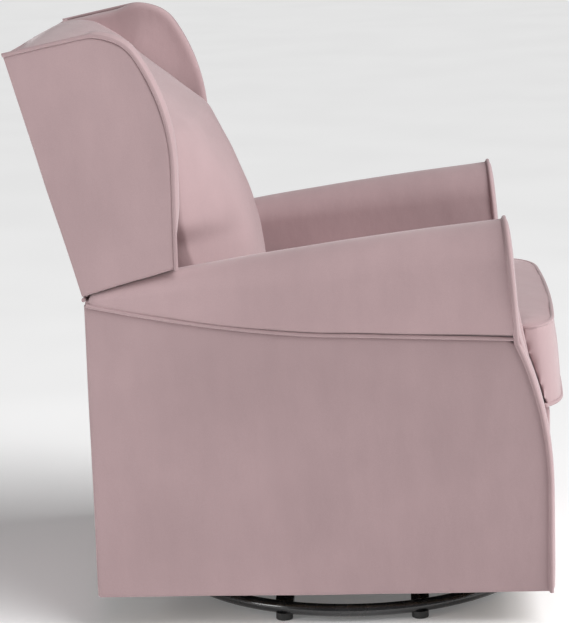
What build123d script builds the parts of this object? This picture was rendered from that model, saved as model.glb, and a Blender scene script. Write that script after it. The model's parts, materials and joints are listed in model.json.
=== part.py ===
from build123d import *
import os
from math import cos, radians, sin

# Glider nursery chair. Millimetres, +Z up, the chair faces -Y, +X is the sitter's left.
# Origin: on the floor, on the swivel axis.

# ---------------------------------------------------------------- driving dimensions
# Floor base
RING_RADIUS = 310.0
RING_TUBE = 21.0
RING_AXIS_Z = 19.5
GLIDE_DIAMETER = 28.0
GLIDE_HEIGHT = 12.0
CROSSBAR_Y = 112.0
CROSSBAR_WIDTH = 30.0
CROSSBAR_BOTTOM = 13.0
CROSSBAR_HEIGHT = 13.0
TUBE_WALL = 2.0

# Swivel bearing
PLATE = 3.0
LOWER_PLATE_X = 220.0
LOWER_PLATE_Y = 254.0
UPPER_PLATE_X = 220.0
UPPER_PLATE_Y = 220.0
BALL_DIAMETER = 6.95
BALL_ORBIT = 82.5
BALL_COUNT = 20
BEARING_GAP = 7.0
SWIVEL_PIN_DIAMETER = 12.0
RUNNING_CLEARANCE = 0.05
BOLT_DIAMETER = 8.0
BOLT_HEAD_WIDTH = 13.0
BOLT_HEAD_HEIGHT = 5.0
BOLT_HOLE_RADIUS = 4.1
SWIVEL_BOLT_X = 80.0

# Swivel frame and glide linkage
CHANNEL_Y = 92.0
CHANNEL_HEIGHT = 20.0
STANCHION_X = 146.0
STANCHION_HALF_DEPTH = 112.0
STANCHION_TOP = 180.0
METAL_PLATE = 4.0
PIVOT_Y = 85.0
UPPER_PIVOT_Z = 160.0
LINK_LENGTH = 100.0
LINK_WIDTH = 30.0
LINK_X = 154.0
CARRIER_X = 162.0
PIVOT_PIN_DIAMETER = 10.0
OPEN_PIVOT_CLEARANCE = 0.2
BUSH_DIAMETER = 14.0
CARRIER_RAIL = 25.0
CARRIER_RAIL_Y = 178.5
CARRIER_RAIL_HALF_LENGTH = 300.0

# Upholstered body
HEM_Z = 58.0
OUTSIDE_X = 345.0
PANEL_THICKNESS = 15.0
BOARD_THICKNESS = 16.0
INSIDE_ARM_X = 262.0
FACING_Y = -331.0
FACING_BEND_Z = 230.0
FACING_TOP_Y = -279.0
FACING_TOP_Z = 471.0
REAR_Y = 413.0
SEAT_FRAME_BOTTOM = 185.0
SEAT_FRAME_TOP = 332.0
ARM_HEIGHT = 667.0
ARM_FRONT_Y = -262.0
ROLL_HALF_WIDTH = 385.0

# Back unit, set along the rear slope
BACK_BASE_Y = 412.0
BACK_BASE_Z = 557.0
BACK_LEAN = 15.27
POST_X = 270.0
POST_WIDTH = 40.0
POST_DEPTH = 45.0
BACK_SKIN = 6.0
WING_FRONT_Y = 265.0
WING_BOARD_X = 310.0

# Seat cushion
CUSHION_BOTTOM = 350.0
CUSHION_TOP = 488.0
CUSHION_CROWN = 8.0
CUSHION_FRONT_Y = -355.0
CUSHION_HALF_WIDTH = 255.0
EAR_HALF_WIDTH = 300.0
CUSHION_REAR_Y = 134.0

# ---------------------------------------------------------------- derived levels
LOWER_PLATE_Z = CROSSBAR_BOTTOM + CROSSBAR_HEIGHT
UPPER_PLATE_Z = LOWER_PLATE_Z + PLATE + BEARING_GAP
CHANNEL_Z = UPPER_PLATE_Z + PLATE
LOWER_PIVOT_Z = UPPER_PIVOT_Z - LINK_LENGTH
BOARD_X = OUTSIDE_X - PANEL_THICKNESS - BOARD_THICKNESS


def save(part, name):
    """Label one finished piece and write it."""
    part.label = name
    export_step(part, f"parts/{name}.step")


def save_pair(part, name):
    """Write a piece made on the +X side as the left one, and its mirror image as the right one."""
    save(part, f"{name}_left")
    with BuildPart() as other:
        mirror(part, about=Plane.YZ)
    save(other.part, f"{name}_right")


def block(x, y, z):
    """A plain block from three (low, high) ranges."""
    with BuildPart() as piece:
        with BuildSketch(Plane.XY.offset(z[0])):
            with Locations(((x[0] + x[1]) / 2, (y[0] + y[1]) / 2)):
                Rectangle(x[1] - x[0], y[1] - y[0])
        extrude(amount=z[1] - z[0])
    return piece.part


# ---------------------------------------------------------------- floor base
def make_floor_base():
    with BuildPart() as base_ring:
        with Locations((0, 0, RING_AXIS_Z)):
            Torus(RING_RADIUS, RING_TUBE / 2)
    save(base_ring.part, "base_ring")

    with BuildPart() as base_crossbars:
        with BuildSketch(Plane.YZ.offset(-RING_RADIUS)):
            with Locations(
                (-CROSSBAR_Y, CROSSBAR_BOTTOM + CROSSBAR_HEIGHT / 2),
                (CROSSBAR_Y, CROSSBAR_BOTTOM + CROSSBAR_HEIGHT / 2),
            ):
                Rectangle(CROSSBAR_WIDTH, CROSSBAR_HEIGHT)
                Rectangle(
                    CROSSBAR_WIDTH - 2 * TUBE_WALL,
                    CROSSBAR_HEIGHT - 2 * TUBE_WALL,
                    mode=Mode.SUBTRACT,
                )
        extrude(amount=2 * RING_RADIUS)
        with BuildSketch(Plane.XY):
            Circle(RING_RADIUS - RING_TUBE / 3)
        extrude(amount=2 * RING_TUBE, mode=Mode.INTERSECT)
        with Locations((0, 0, RING_AXIS_Z)):
            Torus(RING_RADIUS, RING_TUBE / 2, mode=Mode.SUBTRACT)
        with BuildSketch(Plane.XY):
            with GridLocations(LOWER_PLATE_X - 30, 2 * CROSSBAR_Y, 2, 2):
                Circle(BOLT_HOLE_RADIUS)
        extrude(amount=2 * RING_TUBE, mode=Mode.SUBTRACT)
    save(base_crossbars.part, "base_crossbars")

    glide_x = (RING_RADIUS**2 - CROSSBAR_Y**2) ** 0.5
    with BuildPart() as floor_glides:
        with BuildSketch(Plane.XY):
            with GridLocations(2 * glide_x, 2 * CROSSBAR_Y, 2, 2):
                Circle(GLIDE_DIAMETER / 2)
        extrude(amount=GLIDE_HEIGHT)
        fillet(floor_glides.faces().sort_by(Axis.Z)[:4].edges(), 1.5)
        with Locations((0, 0, RING_AXIS_Z)):
            Torus(RING_RADIUS, RING_TUBE / 2, mode=Mode.SUBTRACT)
    save(floor_glides.part, "floor_glides")


def bolt(length, origin, direction):
    """A hexagon-head bolt: the head's underside sits at origin and the shank runs along direction."""
    with BuildPart() as piece:
        with BuildSketch(Plane(origin=origin, z_dir=direction)):
            Circle(BOLT_DIAMETER / 2)
        extrude(amount=length)
        with BuildSketch(Plane(origin=origin, z_dir=direction)):
            RegularPolygon(BOLT_HEAD_WIDTH / 2, 6, major_radius=False)
        extrude(amount=-BOLT_HEAD_HEIGHT)
    return piece.part


def bolt_group(locations, length, direction):
    """Identical bolts as one group of separate solids."""
    with BuildPart() as group:
        for place in locations:
            add(bolt(length, place, direction))
    return group.part


def plate_bolt_places(z):
    spacing_x = (LOWER_PLATE_X - 30) / 2
    return [(sx * spacing_x, sy * CROSSBAR_Y, z) for sx in (-1, 1) for sy in (-1, 1)]


def make_swivel_bearing():
    with BuildPart() as lower_plate:
        with BuildSketch(Plane.XY.offset(LOWER_PLATE_Z)):
            RectangleRounded(LOWER_PLATE_X, LOWER_PLATE_Y, 14)
            Circle(SWIVEL_PIN_DIAMETER / 2, mode=Mode.SUBTRACT)
            with GridLocations(LOWER_PLATE_X - 30, 2 * CROSSBAR_Y, 2, 2):
                Circle(BOLT_HOLE_RADIUS, mode=Mode.SUBTRACT)
        extrude(amount=PLATE)
    save(lower_plate.part, "swivel_lower_plate")

    bolts = bolt_group(plate_bolt_places(LOWER_PLATE_Z + PLATE), 18, (0, 0, -1))
    save(bolts, "base_bolts")

    with BuildPart() as ball_cage:
        with BuildSketch(Plane.XY.offset(LOWER_PLATE_Z + PLATE + 2.5)):
            Circle(BALL_ORBIT + 9)
            Circle(BALL_ORBIT - 9, mode=Mode.SUBTRACT)
            with PolarLocations(BALL_ORBIT, BALL_COUNT):
                Circle(BALL_DIAMETER / 2 + 0.1, mode=Mode.SUBTRACT)
        extrude(amount=2)
    save(ball_cage.part, "ball_cage")

    with BuildPart() as balls:
        with Locations(Location((0, 0, LOWER_PLATE_Z + PLATE + BALL_DIAMETER / 2))):
            with PolarLocations(BALL_ORBIT, BALL_COUNT):
                Sphere(BALL_DIAMETER / 2)
    save(balls.part, "bearing_balls")

    with BuildPart() as swivel_pin:
        with BuildSketch(Plane.XY.offset(LOWER_PLATE_Z)):
            Circle(SWIVEL_PIN_DIAMETER / 2)
        extrude(amount=26)
        with BuildSketch(Plane.XY.offset(LOWER_PLATE_Z)):
            RegularPolygon(9.5, 6, major_radius=False)
        extrude(amount=-8)
    save(swivel_pin.part, "swivel_pin")

    with BuildPart() as swivel_nut:
        with BuildSketch(Plane.XY.offset(UPPER_PLATE_Z + PLATE + 0.3)):
            RegularPolygon(9.5, 6, major_radius=False)
            Circle(SWIVEL_PIN_DIAMETER / 2, mode=Mode.SUBTRACT)
        extrude(amount=9)
    save(swivel_nut.part, "swivel_nut")


# ---------------------------------------------------------------- swivel frame
def make_swivel_frame():
    with BuildPart() as upper_plate:
        with BuildSketch(Plane.XY.offset(UPPER_PLATE_Z)):
            RectangleRounded(UPPER_PLATE_X, UPPER_PLATE_Y, 14)
            Circle(SWIVEL_PIN_DIAMETER / 2 + RUNNING_CLEARANCE, mode=Mode.SUBTRACT)
            with GridLocations(2 * SWIVEL_BOLT_X, 2 * CHANNEL_Y, 2, 2):
                Circle(BOLT_HOLE_RADIUS, mode=Mode.SUBTRACT)
        extrude(amount=PLATE)
    save(upper_plate.part, "swivel_upper_plate")

    channel_centres = [(sy * CHANNEL_Y, CHANNEL_Z + CHANNEL_HEIGHT / 2) for sy in (-1, 1)]
    with BuildPart() as channels:
        with BuildSketch(Plane.YZ.offset(-STANCHION_X)):
            with Locations(channel_centres):
                Rectangle(30, CHANNEL_HEIGHT)
                Rectangle(30 - 2 * TUBE_WALL, CHANNEL_HEIGHT - 2 * TUBE_WALL, mode=Mode.SUBTRACT)
        extrude(amount=2 * STANCHION_X)
        with BuildSketch(Plane.XY.offset(CHANNEL_Z)):
            with GridLocations(2 * SWIVEL_BOLT_X, 2 * CHANNEL_Y, 2, 2):
                Circle(BOLT_HOLE_RADIUS)
        extrude(amount=CHANNEL_HEIGHT, mode=Mode.SUBTRACT)
    save(channels.part, "swivel_channels")

    top = CHANNEL_Z + CHANNEL_HEIGHT
    places = [(sx * SWIVEL_BOLT_X, sy * CHANNEL_Y, top) for sx in (-1, 1) for sy in (-1, 1)]
    save(bolt_group(places, CHANNEL_HEIGHT + PLATE, (0, 0, -1)), "swivel_bolts")

    with BuildPart() as stanchion:
        with BuildSketch(Plane.YZ.offset(STANCHION_X)) as outline:
            with Locations((0, (CHANNEL_Z + STANCHION_TOP) / 2)):
                Rectangle(2 * STANCHION_HALF_DEPTH, STANCHION_TOP - CHANNEL_Z)
            fillet(outline.vertices(), 12)
            with Locations((0, 110)):
                SlotOverall(90, 50, mode=Mode.SUBTRACT)
            with Locations((-PIVOT_Y, UPPER_PIVOT_Z), (PIVOT_Y, UPPER_PIVOT_Z)):
                Circle(PIVOT_PIN_DIAMETER / 2, mode=Mode.SUBTRACT)
        extrude(amount=METAL_PLATE)
    save_pair(stanchion.part, "stanchion")

    save(pivot_pins(UPPER_PIVOT_Z, STANCHION_X - 4, outward=True), "upper_pivot_pins")

    with BuildPart() as bump_stops:
        for side in (-1, 1):
            for end in (-1, 1):
                face = (side * (STANCHION_X + METAL_PLATE / 2), end * STANCHION_HALF_DEPTH, 150)
                with BuildSketch(Plane(origin=face, z_dir=(0, end, 0))):
                    Circle(8)
                extrude(amount=12)
    save(bump_stops.part, "bump_stops")


def pivot_pins(z, head_x, outward):
    """Four headed pivot pins at one level; each has a shoulder that spaces the link and a collar."""
    step = 1 if outward else -1
    with BuildPart() as pins:
        for side in (-1, 1):
            for y in (-PIVOT_Y, PIVOT_Y):
                away = (side * step, 0, 0)
                with BuildSketch(Plane(origin=(side * head_x, y, z), z_dir=away)):
                    Circle(9)
                extrude(amount=4)
                with BuildSketch(Plane(origin=(side * head_x, y, z), z_dir=away)):
                    Circle(PIVOT_PIN_DIAMETER / 2)
                extrude(amount=19)
                shoulder = (side * (head_x + step * 8), y, z)
                with BuildSketch(Plane(origin=shoulder, z_dir=away)):
                    Circle(7)
                extrude(amount=2.8)
                collar = (side * (head_x + step * 17.2), y, z)
                with BuildSketch(Plane(origin=collar, z_dir=away)):
                    Circle(8)
                extrude(amount=1.8)
    return pins.part


# ---------------------------------------------------------------- glide linkage
def make_links():
    middle = (UPPER_PIVOT_Z + LOWER_PIVOT_Z) / 2
    for name, y in (("front", -PIVOT_Y), ("rear", PIVOT_Y)):
        with BuildPart() as link:
            with BuildSketch(Plane.YZ.offset(LINK_X)):
                with Locations((y, middle)):
                    SlotCenterToCenter(LINK_LENGTH, LINK_WIDTH, rotation=90)
                with Locations((y, UPPER_PIVOT_Z), (y, LOWER_PIVOT_Z)):
                    Circle(BUSH_DIAMETER / 2, mode=Mode.SUBTRACT)
            extrude(amount=METAL_PLATE)
        save_pair(link.part, f"{name}_link")

        with BuildPart() as bushes:
            for side_x in (LINK_X - 1, -LINK_X - 5):
                for z in (UPPER_PIVOT_Z, LOWER_PIVOT_Z):
                    open_pivot = name == "rear" and z == LOWER_PIVOT_Z
                    clearance = OPEN_PIVOT_CLEARANCE if open_pivot else RUNNING_CLEARANCE
                    with BuildSketch(Plane.YZ.offset(side_x)):
                        with Locations((y, z)):
                            Circle(BUSH_DIAMETER / 2)
                            Circle(PIVOT_PIN_DIAMETER / 2 + clearance, mode=Mode.SUBTRACT)
                    extrude(amount=METAL_PLATE + 2)
        save(bushes.part, f"{name}_link_bushes")


def make_glide_carriers():
    rail_inner = CARRIER_RAIL_Y - CARRIER_RAIL / 2
    with BuildPart() as carrier:
        with BuildSketch(Plane.YZ.offset(CARRIER_X)):
            with BuildLine():
                FilletPolyline(
                    (-rail_inner, SEAT_FRAME_BOTTOM),
                    (-rail_inner, SEAT_FRAME_BOTTOM - CARRIER_RAIL),
                    (-PIVOT_Y - 18, LOWER_PIVOT_Z - 16),
                    (PIVOT_Y + 18, LOWER_PIVOT_Z - 16),
                    (rail_inner, SEAT_FRAME_BOTTOM - CARRIER_RAIL),
                    (rail_inner, SEAT_FRAME_BOTTOM),
                    radius=6,
                    close=True,
                )
            make_face()
            with Locations((0, 112)):
                SlotOverall(90, 55, mode=Mode.SUBTRACT)
            with Locations((-PIVOT_Y, LOWER_PIVOT_Z), (PIVOT_Y, LOWER_PIVOT_Z)):
                Circle(PIVOT_PIN_DIAMETER / 2, mode=Mode.SUBTRACT)
        extrude(amount=METAL_PLATE)
    save_pair(carrier.part, "glide_carrier")

    save(pivot_pins(LOWER_PIVOT_Z, CARRIER_X + 8, outward=False), "lower_pivot_pins")

    bolt_x = CARRIER_RAIL_HALF_LENGTH - 6
    with BuildPart() as carrier_rails:
        with BuildSketch(Plane.YZ.offset(-CARRIER_RAIL_HALF_LENGTH)):
            with Locations(
                (-CARRIER_RAIL_Y, SEAT_FRAME_BOTTOM - CARRIER_RAIL / 2),
                (CARRIER_RAIL_Y, SEAT_FRAME_BOTTOM - CARRIER_RAIL / 2),
            ):
                Rectangle(CARRIER_RAIL, CARRIER_RAIL)
                Rectangle(
                    CARRIER_RAIL - 2 * TUBE_WALL, CARRIER_RAIL - 2 * TUBE_WALL, mode=Mode.SUBTRACT
                )
        extrude(amount=2 * CARRIER_RAIL_HALF_LENGTH)
        with BuildSketch(Plane.XY.offset(SEAT_FRAME_BOTTOM - CARRIER_RAIL)):
            with GridLocations(2 * bolt_x, 2 * CARRIER_RAIL_Y, 2, 2):
                Circle(BOLT_HOLE_RADIUS)
        extrude(amount=CARRIER_RAIL, mode=Mode.SUBTRACT)
    save(carrier_rails.part, "carrier_rails")

    bottom = SEAT_FRAME_BOTTOM - CARRIER_RAIL
    places = [(sx * bolt_x, sy * CARRIER_RAIL_Y, bottom) for sx in (-1, 1) for sy in (-1, 1)]
    save(bolt_group(places, 58, (0, 0, 1)), "mechanism_bolts")
    return bolt_x


# ---------------------------------------------------------------- arm side view
def facing_y(z):
    """The front edge of the arm in side view, between the hem and the arm roll."""
    rise = FACING_TOP_Z - FACING_BEND_Z
    setback = FACING_TOP_Y - FACING_Y
    radius = (rise**2 + setback**2) / (2 * setback)
    if z <= FACING_BEND_Z:
        return FACING_Y
    return FACING_Y + radius - (radius**2 - (z - FACING_BEND_Z) ** 2) ** 0.5


def roll_seam_z(y):
    """Height of the welt under the arm roll, which climbs to the rear."""
    if y <= 0:
        return 477 + (y - ARM_FRONT_Y) * 11 / 262
    return 488 + 57 * (y / 411) ** 1.6


def side_profile(x, bottom, rear, front_gap, top_gap):
    """Side view of an arm board or panel on the plane at x."""
    top_front = (FACING_TOP_Y + front_gap, FACING_TOP_Z - top_gap)
    with BuildSketch(Plane.YZ.offset(x)) as profile:
        with BuildLine():
            Line((FACING_Y + front_gap, bottom), (FACING_Y + front_gap, FACING_BEND_Z))
            TangentArc(
                (FACING_Y + front_gap, FACING_BEND_Z), top_front, tangent=(0, 1)
            )
            Polyline(
                top_front,
                (0, roll_seam_z(0) - top_gap),
                (150, roll_seam_z(150) - top_gap),
                (290, roll_seam_z(290) - top_gap),
                (rear, roll_seam_z(rear) - top_gap),
                (rear, bottom),
                (FACING_Y + front_gap, bottom),
            )
        make_face()
    return profile.sketch


def make_arm_shells():
    with BuildPart() as arm_board:
        extrude(side_profile(BOARD_X, HEM_Z + 3, REAR_Y - 11, 12, 2), amount=BOARD_THICKNESS)
    save_pair(arm_board.part, "arm_board")

    with BuildPart() as arm_panel:
        extrude(
            side_profile(BOARD_X + BOARD_THICKNESS, HEM_Z, REAR_Y - 10, 10.5, 1), amount=PANEL_THICKNESS
        )
        outer = arm_panel.faces().sort_by(Axis.X)[-1]
        fillet(outer.edges().filter_by(Axis.Z), 3)
    save_pair(arm_panel.part, "outside_arm_panel")


def facing_outline():
    """Front view of the arm: a straight leg that swells into the rolled top."""
    top_radius = (ROLL_HALF_WIDTH - INSIDE_ARM_X) / 2
    centre_x = (ROLL_HALF_WIDTH + INSIDE_ARM_X) / 2
    spring_z = ARM_HEIGHT - top_radius
    with BuildSketch(Plane.XZ) as outline:
        with BuildLine():
            Line((OUTSIDE_X, HEM_Z), (INSIDE_ARM_X, HEM_Z))
            Line((INSIDE_ARM_X, HEM_Z), (INSIDE_ARM_X, spring_z))
            ThreePointArc((INSIDE_ARM_X, spring_z), (centre_x, ARM_HEIGHT), (ROLL_HALF_WIDTH, spring_z))
            TangentArc((ROLL_HALF_WIDTH, spring_z), (OUTSIDE_X + 3, 480), tangent=(0, -1))
            Line((OUTSIDE_X + 3, 480), (OUTSIDE_X, 466))
            Line((OUTSIDE_X, 466), (OUTSIDE_X, HEM_Z))
        make_face()
    return outline.sketch


def facing_band(front, back):
    """Side view of a layer that follows the arm front, between two offsets from it."""
    with BuildSketch(Plane.YZ) as band:
        with BuildLine():
            Polyline((FACING_Y + back, FACING_BEND_Z), (FACING_Y + back, 0), (FACING_Y + front, 0),
                     (FACING_Y + front, FACING_BEND_Z))
            TangentArc(
                (FACING_Y + front, FACING_BEND_Z),
                (FACING_TOP_Y + front, FACING_TOP_Z),
                tangent=(0, 1),
            )
            Polyline(
                (FACING_TOP_Y + front, FACING_TOP_Z),
                (ARM_FRONT_Y + front, 700),
                (ARM_FRONT_Y + back, 700),
                (FACING_TOP_Y + back, FACING_TOP_Z),
            )
            TangentArc((FACING_TOP_Y + back, FACING_TOP_Z), (FACING_Y + back, FACING_BEND_Z),
                       tangent=(-sin(radians(24.36)), -cos(radians(24.36))))
        make_face()
    return band.sketch


def make_arm_facing():
    with BuildPart() as facing:
        extrude(facing_outline(), amount=400)
        extrude(facing_band(-6, 9), amount=400, mode=Mode.INTERSECT)
    save_pair(facing.part, "arm_facing")


def roll_section(y, top, outer, crown):
    """Cross-section of the padded arm roll at one station along the arm."""
    seam = roll_seam_z(y)
    inner = INSIDE_ARM_X
    with BuildSketch(Plane.XZ.offset(-y)) as section:
        with BuildLine():
            Line((OUTSIDE_X, seam), (inner, seam))
            Line((inner, seam), (inner, top - crown))
            ThreePointArc((inner, top - crown), ((inner + outer) / 2, top), (outer, top - crown))
            Line((outer, top - crown), (OUTSIDE_X, seam))
        make_face()
    return section.sketch


def make_inside_arm():
    """Inside arm and roll: one padded piece from the welt, over the roll and down to the deck."""
    with BuildPart() as inside_arm:
        loft(
            [
                roll_section(ARM_FRONT_Y + 8, ARM_HEIGHT - 1, ROLL_HALF_WIDTH - 1, 60),
                roll_section(0, 634, 374, 54),
                roll_section(265, 590, 358, 34),
                roll_section(411, 556, 349, 8),
            ],
            ruled=True,
        )
        with BuildSketch(Plane.YZ.offset(INSIDE_ARM_X)):
            with BuildLine():
                Polyline(
                    (FACING_Y, 340),
                    (FACING_TOP_Y, roll_seam_z(FACING_TOP_Y)),
                    (0, roll_seam_z(0)),
                    (150, roll_seam_z(150)),
                    (280, roll_seam_z(280)),
                    (280, 340),
                    close=True,
                )
            make_face()
        extrude(amount=BOARD_X - INSIDE_ARM_X)
        with BuildSketch(Plane.XY.offset(300)):
            with Locations((INSIDE_ARM_X + 24, 360)):
                Rectangle(52, 150)
        extrude(amount=400, mode=Mode.SUBTRACT)
        extrude(facing_band(-200, 9.5), amount=400, mode=Mode.SUBTRACT)
    save_pair(inside_arm.part, "inside_arm_pad")


# ---------------------------------------------------------------- seat frame
def make_seat_frame(bolt_x):
    board_half = BOARD_X
    save(block((-board_half, board_half), (-306, -288), (HEM_Z + 3, SEAT_FRAME_TOP)), "front_board")
    save(block((-board_half, board_half), (372, 398), (SEAT_FRAME_BOTTOM, SEAT_FRAME_TOP)), "rear_rail")

    rail_inner = board_half - 27
    with BuildPart() as side_rails:
        with BuildSketch(Plane.XY.offset(SEAT_FRAME_BOTTOM)):
            with Locations((-board_half + 13.5, 42), (board_half - 13.5, 42)):
                Rectangle(27, 660)
            with GridLocations(2 * bolt_x, 2 * CARRIER_RAIL_Y, 2, 2):
                Circle(BOLT_HOLE_RADIUS, mode=Mode.SUBTRACT)
        extrude(amount=50)
    save(side_rails.part, "side_rails")

    with BuildPart() as corner_blocks:
        for side in (-1, 1):
            for y, toward in ((-288, 1), (372, -1)):
                with BuildSketch(Plane.XY.offset(SEAT_FRAME_BOTTOM + 5)):
                    with BuildLine():
                        Polyline(
                            (side * rail_inner, y),
                            (side * (rail_inner - 70), y),
                            (side * rail_inner, y + toward * 70),
                            close=True,
                        )
                    make_face()
                extrude(amount=40)
    save(corner_blocks.part, "corner_blocks")

    save(block((-rail_inner, rail_inner), (-287.5, 371.5), (SEAT_FRAME_BOTTOM + 1, SEAT_FRAME_BOTTOM + 2)),
         "dust_cover")
    save(block((-258, 258), (-306, 300), (SEAT_FRAME_TOP + 6, SEAT_FRAME_TOP + 16)), "seat_deck")
    save(block((-INSIDE_ARM_X + 0.5, INSIDE_ARM_X - 0.5), (FACING_Y, -306), (HEM_Z, 348)), "front_border")
    save(block((-OUTSIDE_X, OUTSIDE_X), (REAR_Y - 10, REAR_Y), (HEM_Z, 543)), "lower_back_panel")


def make_seat_springs():
    """Sinuous springs: each is one zigzag wire from the front board to the rear rail."""
    wire = 3.8
    z = SEAT_FRAME_TOP + wire / 2 + 0.1
    half_width = 20.0
    pitch = 27.0
    loops = 24
    start_y = -300.0
    with BuildPart() as springs:
        for x in (-180, -90, 0, 90, 180):
            with BuildLine(Plane.XY.offset(z)) as path:
                Line((x, start_y), (x + half_width, start_y))
                for i in range(loops):
                    side = 1 if i % 2 == 0 else -1
                    y = start_y + i * pitch
                    edge = x + side * half_width
                    ThreePointArc((edge, y), (edge + side * pitch / 2, y + pitch / 2), (edge, y + pitch))
                    reach = x if i == loops - 1 else x - side * half_width
                    Line((edge, y + pitch), (reach, y + pitch))
            with BuildSketch(Plane(origin=path.line @ 0, z_dir=path.line % 0)):
                Circle(wire / 2)
            sweep(path=path.line)
    save(springs.part, "seat_springs")


# ---------------------------------------------------------------- back unit
def on_back(along, forward):
    """A point in the side view, from its distance up the rear slope and its distance in front of it."""
    lean = radians(BACK_LEAN)
    y = BACK_BASE_Y + along * sin(lean) - forward * cos(lean)
    z = BACK_BASE_Z + along * cos(lean) + forward * sin(lean)
    return (y, z)


def slope_band(x, along, forward, width):
    """A bar of rectangular side view laid along the rear slope."""
    with BuildPart() as piece:
        with BuildSketch(Plane.YZ.offset(x)):
            with BuildLine():
                Polyline(
                    on_back(along[0], forward[0]),
                    on_back(along[1], forward[0]),
                    on_back(along[1], forward[1]),
                    on_back(along[0], forward[1]),
                    close=True,
                )
            make_face()
        extrude(amount=width)
    return piece.part


def make_back_frame():
    inner = BACK_SKIN
    outer = BACK_SKIN + POST_DEPTH
    post = slope_band(POST_X, (-230, 385), (inner, outer), POST_WIDTH)
    save_pair(post, "back_post")
    save(slope_band(-POST_X, (325, 385), (inner, outer), 2 * POST_X), "back_top_rail")
    save(slope_band(-POST_X, (-150, -90), (inner, outer), 2 * POST_X), "back_bottom_rail")

    with BuildPart() as webbing:
        for along in (-40, 50, 140, 230):
            add(slope_band(-POST_X, (along, along + 50), (outer, outer + 1.5), 2 * POST_X))
    save(webbing.part, "back_webbing")

    with BuildPart() as tongues:
        for side in (-1, 1):
            x = POST_X + POST_WIDTH if side > 0 else -POST_X - POST_WIDTH - 2
            add(slope_band(x, (-200, -80), (inner + 6, outer - 6), 2))
    save(tongues.part, "back_tongues")

    with BuildPart() as sockets:
        for side in (-1, 1):
            x = POST_X + POST_WIDTH + 2 if side > 0 else -BOARD_X
            add(slope_band(x, (-210, -90), (inner + 2, outer - 2), 2))
    save(sockets.part, "back_sockets")
    return post


def wing_profile(x, inset):
    """Side view of the wing: upright front edge that curls back over the top."""
    with BuildSketch(Plane.YZ.offset(x)) as profile:
        with BuildLine():
            Polyline(
                on_back(398, BACK_SKIN),
                on_back(5, BACK_SKIN),
                (WING_FRONT_Y, 601),
                (WING_FRONT_Y, 760),
            )
            TangentArc((WING_FRONT_Y, 760), (321, 942), tangent=(0, 1))
            TangentArc((321, 942), (385, 970), tangent=(sin(radians(34)), cos(radians(34))))
            Line((385, 970), on_back(398, BACK_SKIN))
        make_face()
        if inset:
            offset(amount=-inset, kind=Kind.INTERSECTION, mode=Mode.REPLACE)
    return profile.sketch


def make_wings(post):
    board_width = 16
    with BuildPart() as wing_board:
        extrude(wing_profile(WING_BOARD_X, 13), amount=board_width)
    save_pair(wing_board.part, "wing_board")

    with BuildPart() as wing_pad:
        extrude(wing_profile(298, 0), amount=WING_BOARD_X + board_width - 298)
        add(wing_board.part, mode=Mode.SUBTRACT)
        add(post, mode=Mode.SUBTRACT)
    save_pair(wing_pad.part, "wing_pad")

    with BuildPart() as wing_panel:
        extrude(wing_profile(WING_BOARD_X + board_width, 0), amount=OUTSIDE_X - WING_BOARD_X - board_width)
        rim = wing_panel.faces().sort_by(Axis.X)[-1].edges()
        chamfer(rim, 2)
    save_pair(wing_panel.part, "outside_wing_panel")


def make_back_pads():
    save(slope_band(-OUTSIDE_X, (0, 404), (0, BACK_SKIN), 2 * OUTSIDE_X), "outside_back_panel")

    pad_back = BACK_SKIN + POST_DEPTH + 2.5
    crest = 297.5
    with BuildPart() as back_pad:
        with BuildSketch(Plane.YZ.offset(-crest)):
            with BuildLine():
                Polyline(
                    (236, 812),
                    (470, 968),
                    on_back(404, BACK_SKIN + 0.5),
                    on_back(386, BACK_SKIN + 0.5),
                    on_back(386, pad_back),
                    on_back(-150, pad_back),
                    (190, 390),
                    (142, 440),
                    (140, 520),
                )
                Spline((140, 520), (161, 655), (236, 812), tangents=[(0, 1), (0.58, 0.82)])
            make_face()
        extrude(amount=2 * crest)
        with BuildSketch(Plane.XY.offset(380)):
            with BuildLine():
                ThreePointArc((-crest, 262), (0, 140), (crest, 262))
                Polyline((crest, 262), (crest, 560), (-crest, 560), (-crest, 262))
            make_face()
        extrude(amount=620, mode=Mode.INTERSECT)
        with BuildSketch(Plane.XY.offset(380)):
            with Locations((-crest, 350), (crest, 350)):
                Rectangle(2 * (crest - 256), 450)
        extrude(amount=622 - 380, mode=Mode.SUBTRACT)
    save(back_pad.part, "inside_back_pad")


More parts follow.
